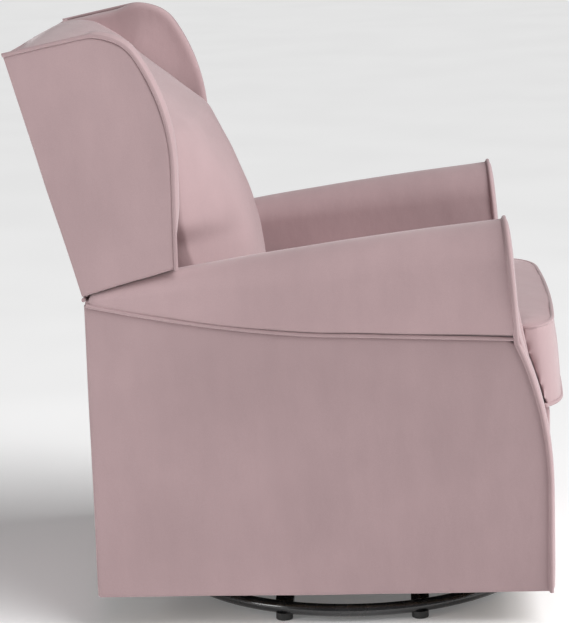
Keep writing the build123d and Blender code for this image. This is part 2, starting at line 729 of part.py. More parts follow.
# ---------------------------------------------------------------- seat cushion
def make_seat_cushion():
    """Loose T-shaped cushion whose ears pass in front of the arms."""
    gap = 8.0
    ear_back = [(facing_y(z) - gap, z) for z in (CUSHION_BOTTOM + 2, 400, 450)]
    boxing = [
        (CUSHION_FRONT_Y + 8, CUSHION_BOTTOM),
        (CUSHION_FRONT_Y, CUSHION_BOTTOM + 16),
        (CUSHION_FRONT_Y + 6, CUSHION_BOTTOM + 76),
        (CUSHION_FRONT_Y + 18, CUSHION_TOP),
    ]
    with BuildPart() as cushion:
        with BuildSketch(Plane.YZ.offset(-EAR_HALF_WIDTH)):
            with BuildLine():
                Polyline(
                    *boxing,
                    (FACING_TOP_Y - gap, CUSHION_TOP),
                    (FACING_TOP_Y - gap, FACING_TOP_Z),
                    ear_back[2],
                    ear_back[1],
                    (ear_back[0][0], CUSHION_BOTTOM),
                    close=True,
                )
            make_face()
        extrude(amount=2 * EAR_HALF_WIDTH)
        with BuildSketch(Plane.YZ.offset(-CUSHION_HALF_WIDTH)):
            with BuildLine():
                Polyline(
                    *boxing,
                    (CUSHION_FRONT_Y + 105, CUSHION_TOP + CUSHION_CROWN),
                    (CUSHION_REAR_Y - 74, CUSHION_TOP + CUSHION_CROWN),
                    (CUSHION_REAR_Y, CUSHION_TOP),
                    (CUSHION_REAR_Y, CUSHION_BOTTOM),
                    close=True,
                )
            make_face()
        extrude(amount=2 * CUSHION_HALF_WIDTH)
    save(cushion.part, "seat_cushion")


os.makedirs("parts", exist_ok=True)
make_floor_base()
make_swivel_bearing()
make_swivel_frame()
make_links()
mechanism_bolt_x = make_glide_carriers()
make_arm_shells()
make_arm_facing()
make_inside_arm()
make_seat_frame(mechanism_bolt_x)
make_seat_springs()
back_post = make_back_frame()
make_wings(back_post)
make_back_pads()
make_seat_cushion()
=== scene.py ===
import json
import math

import bmesh
import bpy
from mathutils import Matrix, Vector, noise
from mathutils.bvhtree import BVHTree


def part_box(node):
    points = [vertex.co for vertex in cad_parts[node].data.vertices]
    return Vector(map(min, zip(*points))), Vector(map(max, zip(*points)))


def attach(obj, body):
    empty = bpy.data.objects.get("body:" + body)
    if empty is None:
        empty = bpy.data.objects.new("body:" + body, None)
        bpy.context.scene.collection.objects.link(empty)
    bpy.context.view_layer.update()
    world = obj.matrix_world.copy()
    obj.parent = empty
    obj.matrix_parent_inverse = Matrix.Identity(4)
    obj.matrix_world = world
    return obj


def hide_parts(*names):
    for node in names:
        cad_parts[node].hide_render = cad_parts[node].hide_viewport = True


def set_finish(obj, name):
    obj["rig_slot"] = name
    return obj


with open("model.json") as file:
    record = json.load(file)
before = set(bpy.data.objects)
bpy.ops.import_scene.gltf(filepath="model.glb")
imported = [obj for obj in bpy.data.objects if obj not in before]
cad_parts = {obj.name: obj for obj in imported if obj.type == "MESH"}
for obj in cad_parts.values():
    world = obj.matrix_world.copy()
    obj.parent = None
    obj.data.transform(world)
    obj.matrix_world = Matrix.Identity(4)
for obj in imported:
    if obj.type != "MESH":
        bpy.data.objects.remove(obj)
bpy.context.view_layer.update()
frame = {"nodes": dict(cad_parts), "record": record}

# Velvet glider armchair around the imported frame. Shapes are worked out in millimetres and
# written to meshes in metres. The chair faces -Y; the sitter's left is +X.
MM = 0.001

# ---------------------------------------------------------------- places taken from the frame
def box_mm(node):
    low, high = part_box(node)
    return low / MM, high / MM


panel_low, panel_high = box_mm("outside_arm_panel_left")
facing_low, facing_high = box_mm("arm_facing_left")
roll_low, roll_high = box_mm("inside_arm_pad_left")
wing_low, wing_high = box_mm("outside_wing_panel_left")
pad_low, pad_high = box_mm("inside_back_pad")
cushion_low, cushion_high = box_mm("seat_cushion")
back_low, back_high = box_mm("outside_back_panel")
lower_low, lower_high = box_mm("lower_back_panel")
border_low, border_high = box_mm("front_border")
deck_low, deck_high = box_mm("seat_deck")
board_low, board_high = box_mm("arm_board_left")

OUT_X = panel_high.x
HEM = panel_low.z
INNER_X = facing_low.x
ROLL_X = facing_high.x
FRONT_Y = facing_low.y + 6
BEND_Z = 230.0
ROLL_FRONT_Y = FRONT_Y + 69
NECK_Y = FRONT_Y + 52
NECK_Z = 471.0
ARM_TOP = facing_high.z
ARM_REAR = roll_high.y
BACK_LEAN = math.radians(15.27)
BACK_BASE = Vector((0, back_low.y + 5.8, back_low.z))
WELT = 3.3
WING_MIDDLE = (395, 770)
FACING_MIDDLE = (312, 400)


# ---------------------------------------------------------------- curves of the design
def front_y(z):
    """Side view of the arm's front edge: upright, then a long bend back, then the roll."""
    rise, setback = NECK_Z - BEND_Z, NECK_Y - FRONT_Y
    radius = (rise**2 + setback**2) / (2 * setback)
    if z <= BEND_Z:
        return FRONT_Y
    if z <= NECK_Z:
        return FRONT_Y + radius - math.sqrt(radius**2 - (z - BEND_Z) ** 2)
    return NECK_Y + (z - NECK_Z) * (ROLL_FRONT_Y - NECK_Y) / (ARM_TOP - NECK_Z)


def seam_z(y):
    """Height of the welt under the roll."""
    if y <= 0:
        return 488 + y * 11 / 262
    return 488 + 57 * (y / ARM_REAR) ** 1.6


def smoothstep(t):
    t = max(0.0, min(1.0, t))
    return t * t * (3 - 2 * t)


def smooth_table(stations):
    """A smooth function through (position, value) pairs."""
    def value(t):
        last = len(stations) - 1
        if t <= stations[0][0]:
            return stations[0][1]
        if t >= stations[last][0]:
            return stations[last][1]
        i = max(k for k in range(last) if stations[k][0] <= t)
        before, a, b, after = (stations[max(0, min(last, k))] for k in (i - 1, i, i + 1, i + 2))
        slope_a = (b[1] - before[1]) / (b[0] - before[0])
        slope_b = (after[1] - a[1]) / (after[0] - a[0])
        span = b[0] - a[0]
        s = (t - a[0]) / span
        return ((2 * s**3 - 3 * s**2 + 1) * a[1] + (s**3 - 2 * s**2 + s) * span * slope_a
                + (3 * s**2 - 2 * s**3) * b[1] + (s**3 - s**2) * span * slope_b)
    return value


roll_top = smooth_table([(-262, ARM_TOP), (-92, 648), (67, 627), (180, 610), (300, 589), (411, 561)])
roll_outer = smooth_table([(-262, ROLL_X - 1), (0, 372), (265, 357), (411, 348)])
roll_crown = smooth_table([(-262, 61), (0, 55), (265, 36), (411, 9)])


def on_back(along, forward):
    """A point in side view, from its distance up the rear slope and its distance in front of it."""
    y = BACK_BASE.y + along * math.sin(BACK_LEAN) - forward * math.cos(BACK_LEAN)
    z = BACK_BASE.z + along * math.cos(BACK_LEAN) + forward * math.sin(BACK_LEAN)
    return Vector((y, z))


def bezier(start, bend, end, t):
    """A point of a quadratic curve."""
    return start * (1 - t) ** 2 + bend * 2 * t * (1 - t) + end * t * t


def arc(centre, radius, start, end, steps):
    """Points of an arc, angles in degrees."""
    points = []
    for i in range(steps + 1):
        a = math.radians(start + (end - start) * i / steps)
        points.append(Vector((centre[0] + radius * math.cos(a), centre[1] + radius * math.sin(a))))
    return points


def rounded(corners, radii, steps=6):
    """A closed outline from its corners, each rounded with its own radius."""
    outline = []
    count = len(corners)
    for i in range(count):
        here = Vector(corners[i])
        a = (Vector(corners[i - 1]) - here)
        b = (Vector(corners[(i + 1) % count]) - here)
        cut = min(radii[i], 0.45 * a.length, 0.45 * b.length)
        start, end = here + a.normalized() * cut, here + b.normalized() * cut
        if cut < 0.5:
            outline.append(here)
            continue
        for k in range(steps + 1):
            outline.append(bezier(start, here, end, k / steps))
    return outline


def resample(outline, spacing, closed=True):
    """Even points along an outline."""
    points = [Vector(p) for p in outline]
    if closed:
        points.append(points[0])
    lengths = [(b - a).length for a, b in zip(points, points[1:])]
    total = sum(lengths)
    count = max(8, round(total / spacing))
    made, i, passed = [], 0, 0.0
    for k in range(count if closed else count + 1):
        target = total * k / count
        while i < len(lengths) - 1 and passed + lengths[i] < target:
            passed += lengths[i]
            i += 1
        t = (target - passed) / lengths[i] if lengths[i] else 0
        made.append(points[i].lerp(points[i + 1], min(1, t)))
    return made


# ---------------------------------------------------------------- mesh helpers
def new_piece(name, vertices_mm, faces, material, body, slot, smooth=True):
    mesh = bpy.data.meshes.new(name)
    mesh.from_pydata([Vector(v) * MM for v in vertices_mm], [], faces)
    work = bmesh.new()
    work.from_mesh(mesh)
    bmesh.ops.remove_doubles(work, verts=work.verts, dist=0.00002)
    bmesh.ops.recalc_face_normals(work, faces=work.faces)
    work.to_mesh(mesh)
    work.free()
    for polygon in mesh.polygons:
        polygon.use_smooth = smooth
    piece = bpy.data.objects.new(name, mesh)
    bpy.context.collection.objects.link(piece)
    mesh.materials.append(material)
    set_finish(piece, slot)
    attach(piece, body)
    return piece


def ring_faces(rings, size, cap_start=True, cap_end=True):
    faces = []
    for r in range(rings - 1):
        for i in range(size):
            j = (i + 1) % size
            faces.append((r * size + i, r * size + j, (r + 1) * size + j, (r + 1) * size + i))
    if cap_start:
        faces.append(tuple(range(size)))
    if cap_end:
        faces.append(tuple((rings - 1) * size + i for i in range(size)))
    return faces


def edge_distance(point, outline):
    best = 1e9
    count = len(outline)
    for i in range(count):
        a, b = outline[i], outline[(i + 1) % count]
        side = b - a
        t = max(0.0, min(1.0, (point - a).dot(side) / max(1e-9, side.length_squared)))
        best = min(best, (point - a - side * t).length_squared)
    return math.sqrt(best)


SCALES = (0.995, 0.985, 0.97, 0.95, 0.92, 0.87, 0.8, 0.7, 0.58, 0.44, 0.3, 0.15)


def pillow(name, outline, place, material, wall, radius, crown=3.0, reach=80.0, centre=None,
           bulge=1.0, spacing=6.0, body="seat", flare=None):
    """An upholstered panel: flat back, upright edge, rounded rim, gently crowned face."""
    points = resample(outline, spacing)
    coarse = points[::2]
    middle = Vector(centre) if centre else sum(points, Vector((0, 0))) / len(points)
    size = len(points)
    vertices = []
    for s, height in ((0.9, 0.0), (1.0, 0.0)):
        vertices += [place(*(middle + (p - middle) * s), height) for p in points]
    spread = [flare(p) if flare else 0.0 for p in points]
    for level in (0.33, 0.66, 1.0):
        for p, wide in zip(points, spread):
            away = (p - middle).normalized() * (bulge * math.sin(math.pi * level) + wide * level)
            vertices.append(place(*(p + away), wall * level))
    for s in SCALES:
        for p, wide in zip(points, spread):
            q = middle + (p - middle) * s
            d = edge_distance(q, coarse)
            rim = math.sqrt(max(0.0, 1 - (1 - min(d / radius, 1)) ** 2))
            dome = min(d / reach, 1)
            dome = dome * dome * (3 - 2 * dome)
            q += (p - middle).normalized() * wide * max(0, (s - 0.5) * 2)
            vertices.append(place(*q, wall + radius * rim + crown * dome))
    vertices.append(place(*middle, wall + radius + crown))
    rings = 5 + len(SCALES)
    faces = ring_faces(rings, size, cap_start=True, cap_end=False)
    last = (rings - 1) * size
    faces += [(last + i, last + (i + 1) % size, rings * size) for i in range(size)]
    return new_piece(name, vertices, faces, material, body, "pink_velvet")


def subdivide(piece, levels=1):
    modifier = piece.modifiers.new("smooth", "SUBSURF")
    modifier.levels = levels
    modifier.render_levels = levels
    return piece


def ripple(piece, height, size, stretch=(1, 1, 1), seed=0.0):
    """Low hand-made unevenness along the normals, worked out from position alone."""
    mesh = piece.data
    moves = []
    for v in mesh.vertices:
        q = Vector((v.co.x * stretch[0], v.co.y * stretch[1], v.co.z * stretch[2])) / (size * MM)
        moves.append(v.normal * noise.noise(q + Vector((seed, 0, 0))) * height * MM)
    for v, move in zip(mesh.vertices, moves):
        v.co += move
    return piece


def welt(name, path, material, closed=False, body="seat", radius=WELT):
    """Sewn self-welt: a round cord under the cover's own cloth."""
    points = resample(path, 9, closed)
    curve = bpy.data.curves.new(name, "CURVE")
    curve.dimensions = "3D"
    curve.bevel_depth = radius * MM
    curve.bevel_resolution = 4
    curve.use_fill_caps = True
    spline = curve.splines.new("NURBS")
    spline.points.add(len(points) - 1)
    for target, p in zip(spline.points, points):
        target.co = (*(p * MM), 1)
    spline.order_u = 4
    spline.use_endpoint_u = not closed
    spline.use_cyclic_u = closed
    piece = bpy.data.objects.new(name, curve)
    bpy.context.collection.objects.link(piece)
    curve.materials.append(material)
    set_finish(piece, "pink_velvet")
    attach(piece, body)
    return piece


def evaluated(piece):
    graph = bpy.context.evaluated_depsgraph_get()
    return bpy.data.meshes.new_from_object(piece.evaluated_get(graph))


def remesh(piece, voxel):
    modifier = piece.modifiers.new("voxels", "REMESH")
    modifier.mode = "VOXEL"
    modifier.voxel_size = voxel
    mesh = evaluated(piece)
    piece.modifiers.clear()
    piece.data = mesh
    for polygon in mesh.polygons:
        polygon.use_smooth = True


def inflate(piece, seams, pressure, cap, seam_width=0.008):
    """Swell a stuffed piece as cloth under pressure, held along its seams."""
    mesh = piece.data
    group = piece.vertex_groups.new(name="seam")
    held = [Vector(p) * MM for path in seams for p in path]
    for v in mesh.vertices:
        near = min((v.co - h).length_squared for h in held)
        if near < seam_width**2:
            group.add([v.index], 1.0, "REPLACE")
    start = [v.co.copy() for v in mesh.vertices]
    cloth = piece.modifiers.new("cloth", "CLOTH")
    settings = cloth.settings
    settings.quality = 5
    settings.mass = 0.3
    settings.tension_stiffness = 12
    settings.compression_stiffness = 12
    settings.bending_stiffness = 1.5
    settings.use_pressure = True
    settings.uniform_pressure_force = pressure
    settings.effector_weights.gravity = 0
    settings.vertex_group_mass = "seam"
    for step in range(1, 21):
        bpy.context.scene.frame_set(step)
    moved = evaluated(piece)
    piece.modifiers.clear()
    for v, target, origin in zip(mesh.vertices, moved.vertices, start):
        move = target.co - origin
        if move.length > cap * MM:
            move = move.normalized() * cap * MM
        v.co = origin + move
    bpy.data.meshes.remove(moved)
    bpy.context.scene.frame_set(1)
    relax = piece.modifiers.new("relax", "SMOOTH")
    relax.factor = 0.5
    relax.iterations = 4
    mesh = evaluated(piece)
    piece.modifiers.clear()
    piece.vertex_groups.clear()
    piece.data = mesh


def mirrored(piece, name):
    """The same piece on the sitter's right."""
    twin = piece.copy()
    twin.data = piece.data.copy()
    twin.name = name
    twin.data.name = name
    if piece.type == "MESH":
        twin.data.transform(Matrix.Scale(-1, 4, (1, 0, 0)))
        twin.data.flip_normals()
    else:
        for spline in twin.data.splines:
            for point in spline.points:
                point.co.x = -point.co.x
    bpy.context.collection.objects.link(twin)
    for key in list(twin.keys()):
        if key != "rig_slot":
            del twin[key]
    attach(twin, "seat")
    return twin


def pair(piece, base, node=None):
    """Mirror a left piece; both stand for their CAD nodes."""
    twin = mirrored(piece, base + "_right")
    if node:
        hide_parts(node + "_left")
        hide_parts(node + "_right")
    return twin


# ---------------------------------------------------------------- materials
def node_material(name):
    material = bpy.data.materials.new(name)
    material.use_nodes = True
    tree = material.node_tree
    shader = tree.nodes["Principled BSDF"]
    return material, tree, shader


def add_noise(tree, scale, detail=3.0, stretch=(1, 1, 1), turn=(0, 0, 0)):
    place = tree.nodes.new("ShaderNodeTexCoord")
    mapping = tree.nodes.new("ShaderNodeMapping")
    mapping.inputs["Scale"].default_value = stretch
    mapping.inputs["Rotation"].default_value = turn
    texture = tree.nodes.new("ShaderNodeTexNoise")
    texture.inputs["Scale"].default_value = scale
    texture.inputs["Detail"].default_value = detail
    tree.links.new(place.outputs["Object"], mapping.inputs["Vector"])
    tree.links.new(mapping.outputs["Vector"], texture.inputs["Vector"])
    return texture.outputs["Fac"]


def mix_colors(tree, factor, low, high, start=0.35, end=0.65):
    ramp = tree.nodes.new("ShaderNodeValToRGB")
    ramp.color_ramp.elements[0].position = start
    ramp.color_ramp.elements[1].position = end
    ramp.color_ramp.elements[0].color = (*low, 1)
    ramp.color_ramp.elements[1].color = (*high, 1)
    tree.links.new(factor, ramp.inputs["Fac"])
    return ramp.outputs["Color"]


def blend_colors(tree, a, b, amount, kind="MULTIPLY"):
    mix = tree.nodes.new("ShaderNodeMix")
    mix.data_type = "RGBA"
    mix.blend_type = kind
    mix.inputs["Factor"].default_value = amount
    tree.links.new(a, mix.inputs["A"])
    tree.links.new(b, mix.inputs["B"])
    return mix.outputs["Result"]


def add_bump(tree, shader, heights):
    """Stack bumps: (height socket, strength, distance in metres)."""
    last = None
    for height, strength, distance in heights:
        bump = tree.nodes.new("ShaderNodeBump")
        bump.inputs["Strength"].default_value = strength
        bump.inputs["Distance"].default_value = distance
        tree.links.new(height, bump.inputs["Height"])
        if last:
            tree.links.new(last, bump.inputs["Normal"])
        last = bump.outputs["Normal"]
    tree.links.new(last, shader.inputs["Normal"])


def velvet(name, color, crease=0.25):
    """Short-pile velvet: soft sheen, brushed nap streaks, faint creases and pile grain."""
    material, tree, shader = node_material(name)
    pale = tuple(min(1, c * 1.06) for c in color)
    deep = tuple(c * 0.93 for c in color)
    cloud = mix_colors(tree, add_noise(tree, 5, 4), deep, pale, 0.3, 0.7)
    nap = mix_colors(tree, add_noise(tree, 14, 3, (1, 2.5, 0.7), (0.15, 0, 0)), (0.965,) * 3, (1,) * 3)
    pile = mix_colors(tree, add_noise(tree, 900, 2), (0.93,) * 3, (1,) * 3)
    shade = blend_colors(tree, cloud, nap, 0.8)
    tree.links.new(blend_colors(tree, shade, pile, 0.8), shader.inputs["Base Color"])
    shader.inputs["Roughness"].default_value = 0.9
    shader.inputs["Specular IOR Level"].default_value = 0.2
    shader.inputs["Sheen Weight"].default_value = 0.7
    shader.inputs["Sheen Roughness"].default_value = 0.4
    shader.inputs["Sheen Tint"].default_value = (1, 0.93, 0.94, 1)
    creases = add_noise(tree, 7, 4, (1, 1.6, 0.8), (0.7, 0, 0))
    add_bump(tree, shader, [
        (creases, crease, 0.012),
        (add_noise(tree, 60, 3), 0.12, 0.002),
        (add_noise(tree, 1100, 2), 0.25, 0.0006),
    ])
    return material


def hard_material(name, color, roughness, metallic=0.0, coat=0.0, grain=220.0, wear=0.15):
    """Painted, plated or moulded surface with fine mottling."""
    material, tree, shader = node_material(name)
    high = tuple(min(1, c * 1.25 + 0.01) for c in color)
    tree.links.new(mix_colors(tree, add_noise(tree, 18, 4), color, high), shader.inputs["Base Color"])
    ramp = mix_colors(tree, add_noise(tree, 35, 3), (roughness * 0.8,) * 3, (roughness * 1.25,) * 3)
    tree.links.new(ramp, shader.inputs["Roughness"])
    shader.inputs["Metallic"].default_value = metallic
    shader.inputs["Coat Weight"].default_value = coat
    shader.inputs["Coat Roughness"].default_value = 0.08
    add_bump(tree, shader, [(add_noise(tree, grain, 3), wear, 0.0004)])
    return material


def wood(name):
    material, tree, shader = node_material(name)
    rings = add_noise(tree, 14, 5, (1, 0.12, 1))
    fibre = add_noise(tree, 160, 3, (1, 0.05, 1))
    base = mix_colors(tree, rings, (0.42, 0.27, 0.14), (0.62, 0.44, 0.26))
    fine = mix_colors(tree, fibre, (0.86,) * 3, (1,) * 3)
    tree.links.new(blend_colors(tree, base, fine, 0.8), shader.inputs["Base Color"])
    shader.inputs["Roughness"].default_value = 0.7
    add_bump(tree, shader, [(fibre, 0.3, 0.0006)])
    return material


def woven(name, color):
    """Plain weave in dark polypropylene."""
    material, tree, shader = node_material(name)
    threads = add_noise(tree, 500, 2, (1, 3, 1))
    tree.links.new(mix_colors(tree, threads, color, tuple(c * 2 for c in color)), shader.inputs["Base Color"])
    shader.inputs["Roughness"].default_value = 0.85
    add_bump(tree, shader, [(threads, 0.5, 0.0005)])
    return material


PINK = (0.47, 0.335, 0.345)
# One velvet in a few close shades with painted light and shade: the outside panels and wings darker, the
# inside pads lighter, as the light falls on them.
def shade_of(factor):
    return tuple(c * factor for c in PINK)


upholstery = velvet("blush_velvet", shade_of(1.0))
shaded_outside_velvet = velvet("blush_velvet_outside_painted_shade", shade_of(0.88))
shaded_wing_velvet = velvet("blush_velvet_wing_painted_shade", shade_of(0.94))
lit_inside_velvet = velvet("blush_velvet_inside_painted_light", shade_of(1.1))
cushion_velvet = velvet("blush_velvet_cushion", shade_of(1.0))
welt_velvet = velvet("blush_velvet_welt", tuple(c * 0.92 for c in PINK), crease=0.05)
finishes = {
    "pink_velvet": upholstery,
    "black_steel": hard_material("black_gloss_paint", (0.012, 0.012, 0.013), 0.25, coat=0.6),
    "zinc_steel": hard_material("zinc_plate", (0.55, 0.55, 0.53), 0.35, metallic=1.0),
    "black_nylon": hard_material("moulded_nylon", (0.02, 0.02, 0.02), 0.5),
    "stop_rubber": hard_material("stop_rubber", (0.018, 0.018, 0.018), 0.8, grain=400, wear=0.3),
    "frame_wood": wood("frame_wood"),
    "black_cloth": woven("black_cambric", (0.02, 0.02, 0.02)),
}


def dress_frame():
    """Every CAD node gets the finish of its slot."""
    for subpart in frame["record"]["subparts"]:
        node = frame["nodes"][subpart["node"]]
        node.data.materials.clear()
        node.data.materials.append(finishes[subpart["material_slot"]])


# ---------------------------------------------------------------- arms
def make_outside_panels():
    rear = lower_high.y - 0.5
    front = [Vector((front_y(z) + 6, z)) for z in range(int(HEM), int(NECK_Z) + 1, 12)]
    top = [Vector((y, seam_z(y) - 1)) for y in range(-260, int(rear), 20)]
    outline = front + top + rounded([(rear, seam_z(rear) - 1), (rear, HEM)], [0, 0])
    thick = OUT_X - panel_low.x
    panel = pillow("outside_arm_panel_left", outline, lambda y, z, h: Vector((panel_low.x + h, y, z)),
                   shaded_outside_velvet, thick - 4, 4, crown=3, reach=140, spacing=7)
    ripple(panel, 1.2, 150, seed=3)
    pair(panel, "outside_arm_panel", "outside_arm_panel")


def arm_outline():
    """Front view of the arm: straight leg swelling into the roll, from outer hem to inner hem."""
    half = (ROLL_X - INNER_X) / 2
    centre = (ROLL_X + INNER_X) / 2, ARM_TOP - half
    outer = [Vector((OUT_X, HEM)), Vector((OUT_X, 440))]
    neck, start, bend = Vector((OUT_X + 2, 478)), Vector((ROLL_X, centre[1])), Vector((ROLL_X, 540))
    swell = [bezier(neck, bend, start, t) for t in (0, 0.2, 0.4, 0.6, 0.8)]
    return outer + swell + arc(centre, half, 0, 180, 24) + [Vector((INNER_X, HEM))]


def make_facings():
    outline = arm_outline()
    def place(x, z, h):
        return Vector((x, front_y(z) + 12 - h, z))
    facing = pillow("arm_facing_left", outline, place, upholstery, 5, 6, crown=2.5, reach=30,
                    centre=FACING_MIDDLE, spacing=5)
    subdivide(facing)
    pair(facing, "arm_facing", "arm_facing")
    path = []
    for p in resample(outline[:-1] + [Vector((INNER_X, 352))], 8, closed=False):
        middle = Vector((312, min(max(p.y, HEM + 20), 600)))
        out = p + (p - middle).normalized() * 1.5
        path.append(place(out.x, out.y, 5.5))
    pair(welt("arm_facing_welt_left", path, welt_velvet), "arm_facing_welt")


def roll_section(y):
    """Cross-section of the roll and the inside arm, from the welt over the roll to the deck."""
    seam, top, outer, crown = seam_z(y), roll_top(y), roll_outer(y), roll_crown(y)
    centre = Vector(((outer + INNER_X) / 2, top - crown))
    half = (outer - INNER_X) / 2
    start, turn = Vector((OUT_X + 1, seam)), Vector((outer, seam + 0.42 * (centre.y - seam)))
    end = Vector((outer, centre.y))
    points = [bezier(start, turn, end, t) for t in (0, 0.15, 0.3, 0.5, 0.7, 0.85)]
    for k in range(25):
        a = math.pi * k / 24
        points.append(centre + Vector((half * math.cos(a), crown * math.sin(a))))
    drop = centre.y - deck_high.z
    for k in range(1, 15):
        t = k / 14
        points.append(Vector((INNER_X - 3 * math.sin(math.pi * t), centre.y - drop * t)))
    back_x = panel_low.x - (board_high.x - board_low.x)
    points.append(Vector((back_x, deck_high.z)))
    points.append(Vector((back_x, (deck_high.z + seam) / 2)))
    points.append(Vector((back_x, seam)))
    return points


def make_inside_arms():
    start, end = ROLL_FRONT_Y + 6, ARM_REAR
    stations = [start, start + 0.4, start + 1.5] + [start + (end - start) * r / 41 for r in range(1, 42)]
    vertices, rings = [], len(stations)
    for y in stations:
        follow = max(0.0, 1 - (y - start) / 160)
        for p in roll_section(y):
            shift = front_y(min(p.y, ARM_TOP)) - ROLL_FRONT_Y
            vertices.append(Vector((p.x, y + shift * follow, p.y)))
    size = len(vertices) // rings
    arm = new_piece("inside_arm_left", vertices, ring_faces(rings, size), upholstery, "seat", "pink_velvet")
    ripple(arm, 1.2, 110, seed=9)
    subdivide(arm)
    twin = pair(arm, "inside_arm", "inside_arm_pad")
    path = []
    for k in range(60):
        y = ROLL_FRONT_Y - 10 + (end - 2 - ROLL_FRONT_Y + 10) * k / 59
        path.append(Vector((OUT_X + 1.6, y, seam_z(y) + 0.6)))
    pair(welt("arm_roll_welt_left", path, welt_velvet), "arm_roll_welt")


# ---------------------------------------------------------------- back
def wing_outline():
    """Side view of the wing, clockwise from the lower rear corner."""
    low_rear, top_rear = on_back(3, -3), on_back(401, -3)
    front_low, front_high = Vector((wing_low.y, 601)), Vector((wing_low.y, 760))
    curl, crest = Vector((wing_low.y + 56, 942)), Vector((wing_low.y + 120, 970))
    radius = ((curl.y - 760) ** 2 + 56**2) / (2 * 56)
    sweep = []
    for z in range(760, 942, 14):
        sweep.append(Vector((wing_low.y + radius - math.sqrt(radius**2 - (z - 760) ** 2), z)))
    bend = Vector((wing_low.y + 74, 966))
    cap = [bezier(curl, bend, crest, t) for t in (0, 0.2, 0.4, 0.6, 0.8, 1)]
    return [low_rear, front_low, front_high] + sweep[1:] + cap + [top_rear]


def make_wings():
    outline = wing_outline()
    skin = 8.0
    panel = pillow("outside_wing_panel_left", outline,
                   lambda y, z, h: Vector((OUT_X - skin + h, y, z)), shaded_wing_velvet, skin - 4, 4,
                   crown=3, reach=90, centre=WING_MIDDLE, spacing=6)
    ripple(panel, 1.6, 90, stretch=(1, 1.5, 0.7), seed=5)
    pair(panel, "outside_wing_panel", "outside_wing_panel")
    depth = OUT_X - skin - 300
    def flare(p):
        """The boxing swells forward over the upper front edge."""
        return 9 * smoothstep((430 - p.x) / 60) * smoothstep((p.y - 620) / 90)
    pad = pillow("wing_pad_left", outline, lambda y, z, h: Vector((OUT_X - skin - h, y, z)), lit_inside_velvet,
                 depth - 9, 9, crown=27, reach=120, centre=WING_MIDDLE, bulge=2.0, spacing=6, flare=flare)
    ripple(pad, 1.4, 100, seed=7)
    pair(pad, "wing_pad", "wing_pad")
    middle = Vector(WING_MIDDLE)
    route = outline[1:]
    path = []
    for p in resample(route, 8, closed=False):
        out = p + (p - middle).normalized() * 2.5
        path.append(Vector((OUT_X - 2.0, out.x, out.y)))
    pair(welt("wing_welt_left", path, welt_velvet), "wing_welt")


side_line = [(516, 941), (490, 947), (460, 948), (408, 916), (338, 858), (268, 798), (262, 735), (261, 660),
             (254, 612), (238, 570), (226, 530), (222, 470), (226, 420)]
middle_line = [(516, 946), (492, 957), (452, 953), (384, 914), (304, 862), (236, 810), (196, 738), (166, 668),
               (150, 612), (143, 560), (140, 500), (146, 440), (170, 402)]


def make_back_pad():
    """Full inside back: it springs from the wings, crowns at the middle and tucks in at the deck."""
    left = resample([Vector(p) for p in side_line], 12, False)
    mid = resample([Vector(p) for p in middle_line], 12, False)
    columns_at = [-1, -0.99, -0.97] + [-0.95 + 1.9 * c / 38 for c in range(39)] + [0.97, 0.99, 1]
    rows, columns = 60, len(columns_at)
    def along(line, t):
        s = t * (len(line) - 1)
        i = min(int(s), len(line) - 2)
        return line[i].lerp(line[i + 1], s - i)
    vertices = []
    for layer in (0, 1):
        for r in range(rows):
            t = r / (rows - 1)
            a, b = along(left, t), along(mid, t)
            for c in range(columns):
                u = columns_at[c]
                w = (1 - abs(u) ** 2.5) ** 0.92
                p = a.lerp(b, w)
                half = 250 + 24 * smoothstep((p.y - 622) / 40) + 28 * smoothstep((p.y - 880) / 50)
                if layer:
                    rear = on_back(0, 58).x + (p.y - on_back(0, 58).y) * math.tan(BACK_LEAN)
                    p = Vector((max(p.x + 6, min(rear, p.x + 400)), p.y))
                vertices.append(Vector((u * half, p.x, p.y)))
    faces = []
    sheet = rows * columns
    for r in range(rows - 1):
        for c in range(columns - 1):
            i = r * columns + c
            faces.append((i, i + 1, i + columns + 1, i + columns))
            faces.append((sheet + i, sheet + i + columns, sheet + i + columns + 1, sheet + i + 1))
    for r in range(rows - 1):
        for c in (0, columns - 1):
            i = r * columns + c
            faces.append((i, i + columns, sheet + i + columns, sheet + i))
    for c in range(columns - 1):
        for r in (0, rows - 1):
            i = r * columns + c
            faces.append((i, sheet + i, sheet + i + 1, i + 1))
    pad = new_piece("inside_back_pad", vertices, faces, lit_inside_velvet, "seat", "pink_velvet")
    ripple(pad, 3.0, 130, seed=11)
    subdivide(pad)
    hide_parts("inside_back_pad")


def make_back_panels():
    half = OUT_X - 7
    upper = rounded([(-half, 0), (half, 0), (half, 404), (-half, 404)], [4, 4, 10, 10])
    def on_slope(x, along, h):
        side = on_back(along, 6 - h)
        return Vector((x, side.x, side.y))
    panel = pillow("outside_back_panel", upper, on_slope, upholstery, 3, 5, crown=3, reach=150, spacing=9)
    ripple(panel, 1.4, 160, seed=13)
    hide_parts("outside_back_panel")
    half = panel_low.x + 3
    lower = rounded([(-half, HEM), (half, HEM), (half, 552), (-half, 552)], [4, 4, 6, 6])
    panel = pillow("lower_back_panel", lower, lambda x, z, h: Vector((x, lower_low.y + h, z)), upholstery,
                   5, 5, crown=2.5, reach=150, spacing=9)
    ripple(panel, 1.2, 160, seed=17)
    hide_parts("lower_back_panel")
    path = [Vector((x, lower_high.y + 0.5, 553)) for x in range(-340, 341, 20)]
    welt("back_seam_welt", path, welt_velvet)


